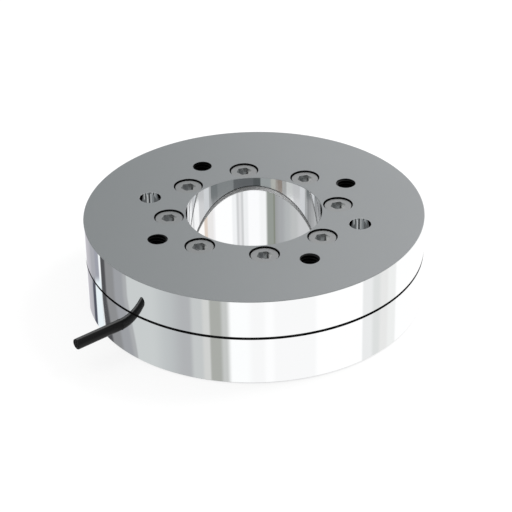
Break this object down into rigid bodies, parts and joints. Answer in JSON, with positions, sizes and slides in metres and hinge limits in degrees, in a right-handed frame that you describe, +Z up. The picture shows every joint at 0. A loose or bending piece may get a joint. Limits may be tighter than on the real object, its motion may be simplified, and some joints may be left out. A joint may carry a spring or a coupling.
{
  "type": "force torque sensor",
  "caption": "Flat round force torque sensor for a robot wrist, with a through bore, a tool flange with tapped and dowel holes, and a signal cable.",
  "frame": {"origin": "centre of the bottom mounting face, on the bore's axis", "axes": "+Z up along the bore, out of the tool face; +X through one of the two dowel holes; the cable leaves the base housing 235.5 degrees round from +X, between -X and -Y"},
  "size_m": [0.125, 0.1309, 0.0336],
  "materials": {
    "satin_aluminium": "satin",
    "elastic_alloy": "satin",
    "polished_housing": "polished",
    "screw_steel": "satin",
    "ground_steel": "polished",
    "black_rubber": "matte",
    "board_green": "satin",
    "chip_black": "matte",
    "connector_cream": "satin",
    "spacer_brass": "satin",
    "gauge_film": "satin",
    "cable_jacket": "satin",
    "core_insulation": "satin"
  },
  "bodies": {
    "root": {"top_flange": "satin_aluminium", "elastic_body": "elastic_alloy", "base_housing": "polished_housing", "flange_screws": "screw_steel", "body_screws": "screw_steel", "flange_dowels": "ground_steel", "body_dowels": "ground_steel", "stop_pins": "ground_steel", "seam_seal": "black_rubber", "bore_seal": "black_rubber", "circuit_board": "board_green", "board_spacers": "spacer_brass", "board_screws": "screw_steel", "amplifier_chips": "chip_black", "processor_chip": "chip_black", "regulator_chip": "chip_black", "board_header": "connector_cream", "board_plug": "connector_cream", "strain_gauges": "gauge_film", "gauge_flexes": "gauge_film", "cable": "cable_jacket", "cable_grommet": "black_rubber", "crimp_ferrule": "spacer_brass", "cable_cores": "core_insulation"}
  },
  "joints": []
}
